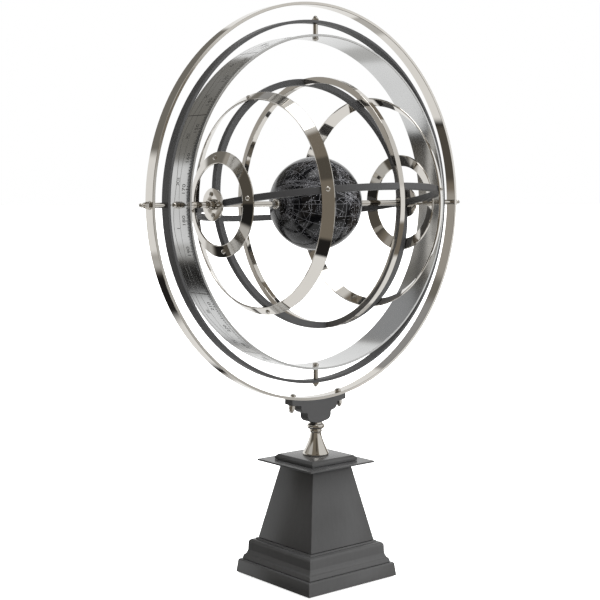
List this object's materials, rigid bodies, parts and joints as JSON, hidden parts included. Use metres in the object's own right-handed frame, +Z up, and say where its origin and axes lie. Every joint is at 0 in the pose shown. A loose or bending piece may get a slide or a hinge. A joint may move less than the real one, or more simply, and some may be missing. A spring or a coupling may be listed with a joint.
{
  "type": "armillary sphere",
  "caption": "Armillary sphere: gimballed rings, an engraved band and an inner cage turn about a small globe on a square pedestal.",
  "frame": {"origin": "on the floor under the middle of the base", "axes": "+Z up, X along the polar axle and the side pivots, Y across the fixed outer ring; -Y is the front"},
  "size_m": [0.5792, 0.3478, 0.804],
  "materials": {
    "polished_nickel": "polished nickel plate, lightly handled",
    "engraved_nickel": "nickel plate with engraved dial marks",
    "charcoal_paint": "satin charcoal paint",
    "base_paint": "matt charcoal paint on wood",
    "globe_lacquer": "black lacquer with fine pale chart lines",
    "plain_steel": "plain zinc-plated steel",
    "felt": "dark felt"
  },
  "bodies": {
    "stand": {"base_slab": "base_paint", "base_moulding": "base_paint", "pedestal": "base_paint", "cap_plate": "base_paint", "cap_block": "base_paint", "foot_pad_1": "felt", "foot_pad_2": "felt", "foot_pad_3": "felt", "foot_pad_4": "felt", "tie_rod": "plain_steel", "tie_rod_washer": "plain_steel", "tie_rod_nut": "plain_steel", "stem": "polished_nickel", "saddle": "charcoal_paint", "saddle_bolt_left": "polished_nickel", "saddle_washer_left": "polished_nickel", "saddle_cap_nut_left": "polished_nickel", "side_bolt_left": "polished_nickel", "side_sleeve_left": "polished_nickel", "side_washer_left": "polished_nickel", "side_finial_left": "polished_nickel", "saddle_bolt_right": "polished_nickel", "saddle_washer_right": "polished_nickel", "saddle_cap_nut_right": "polished_nickel", "side_bolt_right": "polished_nickel", "side_sleeve_right": "polished_nickel", "side_washer_right": "polished_nickel", "side_finial_right": "polished_nickel", "outer_ring": "polished_nickel"},
    "middle": {"middle_ring": "charcoal_paint", "band_bolt_top": "polished_nickel", "band_bolt_bottom": "polished_nickel", "band_sleeve_top": "polished_nickel", "band_sleeve_bottom": "polished_nickel", "band_nut_top": "polished_nickel", "band_nut_bottom": "polished_nickel"},
    "band": {"wide_band": "engraved_nickel", "axle": "polished_nickel", "axle_nut_left": "polished_nickel", "axle_nut_right": "polished_nickel", "hub_collar_left": "polished_nickel", "hub_collar_right": "polished_nickel", "globe_collar_left": "polished_nickel", "globe_collar_right": "polished_nickel"},
    "cage": {"meridian_1": "charcoal_paint", "meridian_2": "charcoal_paint", "meridian_3": "charcoal_paint", "meridian_4": "charcoal_paint", "equator_ring": "polished_nickel", "tropic_ring_left": "polished_nickel", "tropic_ring_right": "polished_nickel", "polar_ring_left": "polished_nickel", "polar_ring_right": "polished_nickel", "hub_disc_left": "polished_nickel", "hub_disc_right": "polished_nickel"},
    "ball": {"globe": "globe_lacquer"}
  },
  "joints": [
    {"name": "middle_ring_turn", "type": "hinge", "parent": "stand", "child": "middle", "pos_m": [0, 0, 0.529], "axis": [1, 0, 0], "continuous": true},
    {"name": "band_turn", "type": "hinge", "parent": "middle", "child": "band", "pos_m": [0, 0, 0.529], "axis": [0, 0, 1], "continuous": true},
    {"name": "cage_turn", "type": "hinge", "parent": "band", "child": "cage", "pos_m": [0, 0, 0.529], "axis": [1, 0, 0], "continuous": true},
    {"name": "globe_spin", "type": "hinge", "parent": "band", "child": "ball", "pos_m": [0, 0, 0.529], "axis": [1, 0, 0], "continuous": true}
  ]
}
